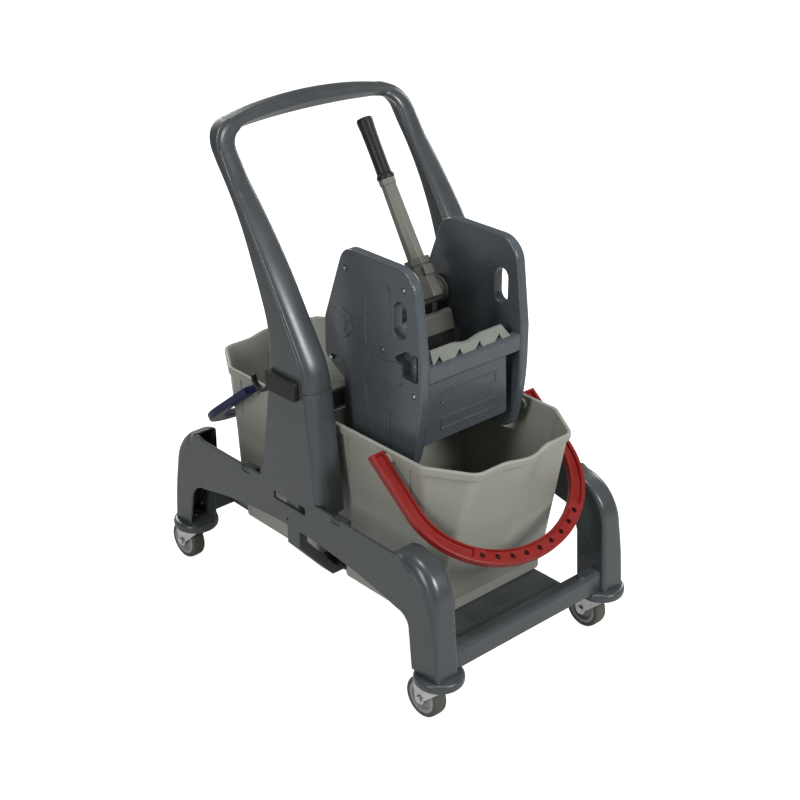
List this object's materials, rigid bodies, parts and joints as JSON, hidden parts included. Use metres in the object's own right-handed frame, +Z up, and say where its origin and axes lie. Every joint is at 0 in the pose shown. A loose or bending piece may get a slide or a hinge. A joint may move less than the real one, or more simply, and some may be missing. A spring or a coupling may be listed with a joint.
{
  "type": "double mop bucket trolley",
  "caption": "Cleaning trolley on swivel casters that carries two grey mop buckets with swinging bails, a lever press standing in the front bucket and a rear-leaning push handle.",
  "frame": {"origin": "on the floor under the middle of the trolley's outline", "axes": "+Z up, +Y from the press end to the push handle's end, +X to the right seen from the front"},
  "size_m": [0.486, 0.7965, 0.926],
  "materials": {
    "frame_plastic": "satin moulded, dark slate grey",
    "press_plastic": "satin moulded, dark slate grey",
    "bucket_plastic": "satin moulded, warm mid grey",
    "grey_plastic": "satin moulded, mid grey",
    "lever_plastic": "satin moulded, mid grey",
    "black_plastic": "fine texture, near black",
    "red_plastic": "semi-gloss red",
    "navy_plastic": "semi-gloss dark blue",
    "zinc_steel": "zinc plated",
    "hub_plastic": "satin moulded",
    "tyre_rubber": "smooth grey-brown"
  },
  "bodies": {
    "chassis": {"side_frame_left": "frame_plastic", "side_frame_right": "frame_plastic", "front_shelf": "frame_plastic", "rear_shelf": "frame_plastic", "centre_support": "frame_plastic", "push_handle": "frame_plastic", "clip_left": "black_plastic", "clip_right": "black_plastic", "frame_screws": "zinc_steel", "bumper_fl": "frame_plastic", "bumper_fr": "frame_plastic", "bumper_rl": "frame_plastic", "bumper_rr": "frame_plastic"},
    "front_bucket_body": {"front_bucket": "bucket_plastic"},
    "rear_bucket_body": {"rear_bucket": "bucket_plastic"},
    "front_bail_body": {"front_bail": "red_plastic"},
    "rear_bail_body": {"rear_bail": "navy_plastic"},
    "press_body": {"press_side_left": "press_plastic", "press_side_right": "press_plastic", "press_cover_left": "press_plastic", "press_cover_right": "press_plastic", "press_front": "press_plastic", "press_sieve": "grey_plastic", "press_back": "press_plastic", "press_rest": "grey_plastic", "press_tie_rod": "zinc_steel", "press_hook_left": "press_plastic", "press_hook_right": "press_plastic", "press_screws": "zinc_steel"},
    "lever_body": {"lever_shaft": "zinc_steel", "lever_barrel": "grey_plastic", "lever_tube": "lever_plastic", "lever_grip": "black_plastic", "return_spring": "zinc_steel"},
    "jaw_body": {"jaw_plate": "black_plastic", "jaw_head": "grey_plastic"},
    "caster_fl": {"fork_fl": "zinc_steel", "axle_fl": "zinc_steel"},
    "wheel_fl": {"hub_fl": "hub_plastic", "tyre_fl": "tyre_rubber"},
    "caster_fr": {"fork_fr": "zinc_steel", "axle_fr": "zinc_steel"},
    "wheel_fr": {"hub_fr": "hub_plastic", "tyre_fr": "tyre_rubber"},
    "caster_rl": {"fork_rl": "zinc_steel", "axle_rl": "zinc_steel"},
    "wheel_rl": {"hub_rl": "hub_plastic", "tyre_rl": "tyre_rubber"},
    "caster_rr": {"fork_rr": "zinc_steel", "axle_rr": "zinc_steel"},
    "wheel_rr": {"hub_rr": "hub_plastic", "tyre_rr": "tyre_rubber"}
  },
  "joints": [
    {"name": "swivel_fl", "type": "hinge", "parent": "chassis", "child": "caster_fl", "pos_m": [-0.2, -0.35525, 0.09], "axis": [0, 0, 1], "continuous": true},
    {"name": "roll_fl", "type": "hinge", "parent": "caster_fl", "child": "wheel_fl", "pos_m": [-0.2, -0.32525, 0.0375], "axis": [1, 0, 0], "continuous": true},
    {"name": "swivel_fr", "type": "hinge", "parent": "chassis", "child": "caster_fr", "pos_m": [0.2, -0.35525, 0.09], "axis": [0, 0, 1], "continuous": true},
    {"name": "roll_fr", "type": "hinge", "parent": "caster_fr", "child": "wheel_fr", "pos_m": [0.2, -0.32525, 0.0375], "axis": [1, 0, 0], "continuous": true},
    {"name": "swivel_rl", "type": "hinge", "parent": "chassis", "child": "caster_rl", "pos_m": [-0.2, 0.33075, 0.09], "axis": [0, 0, 1], "continuous": true},
    {"name": "roll_rl", "type": "hinge", "parent": "caster_rl", "child": "wheel_rl", "pos_m": [-0.2, 0.36075, 0.0375], "axis": [1, 0, 0], "continuous": true},
    {"name": "swivel_rr", "type": "hinge", "parent": "chassis", "child": "caster_rr", "pos_m": [0.2, 0.33075, 0.09], "axis": [0, 0, 1], "continuous": true},
    {"name": "roll_rr", "type": "hinge", "parent": "caster_rr", "child": "wheel_rr", "pos_m": [0.2, 0.36075, 0.0375], "axis": [1, 0, 0], "continuous": true},
    {"name": "front_bucket_lift", "type": "slide", "parent": "chassis", "child": "front_bucket_body", "axis": [0, 0, 1], "range_m": [0, 0.2]},
    {"name": "rear_bucket_lift", "type": "slide", "parent": "chassis", "child": "rear_bucket_body", "axis": [0, 0.5, 0.866], "range_m": [0, 0.175]},
    {"name": "press_lift", "type": "slide", "parent": "front_bucket_body", "child": "press_body", "axis": [0, 0, 1], "range_m": [0, 0.2]},
    {"name": "front_bail_swing", "type": "hinge", "parent": "front_bucket_body", "child": "front_bail_body", "pos_m": [0, -0.18825, 0.4153], "axis": [-1, 0, 0], "range_deg": [0, 95]},
    {"name": "rear_bail_swing", "type": "hinge", "parent": "rear_bucket_body", "child": "rear_bail_body", "pos_m": [0, 0.17375, 0.4153], "axis": [1, 0, 0], "range_deg": [0, 95]},
    {"name": "lever_pull", "type": "hinge", "parent": "press_body", "child": "lever_body", "pos_m": [0, -0.02725, 0.5996], "axis": [-1, 0, 0], "range_deg": [0, 55], "stiffness_Nm_per_rad": 3, "springref_deg": -20.05},
    {"name": "jaw_press", "type": "hinge", "parent": "press_body", "child": "jaw_body", "pos_m": [0, -0.10025, 0.4246], "axis": [1, 0, 0], "range_deg": [0, 23.5]}
  ],
  "couplings": [
    {"joint": "jaw_press", "follows": "lever_pull", "ratio": 0.42}
  ]
}
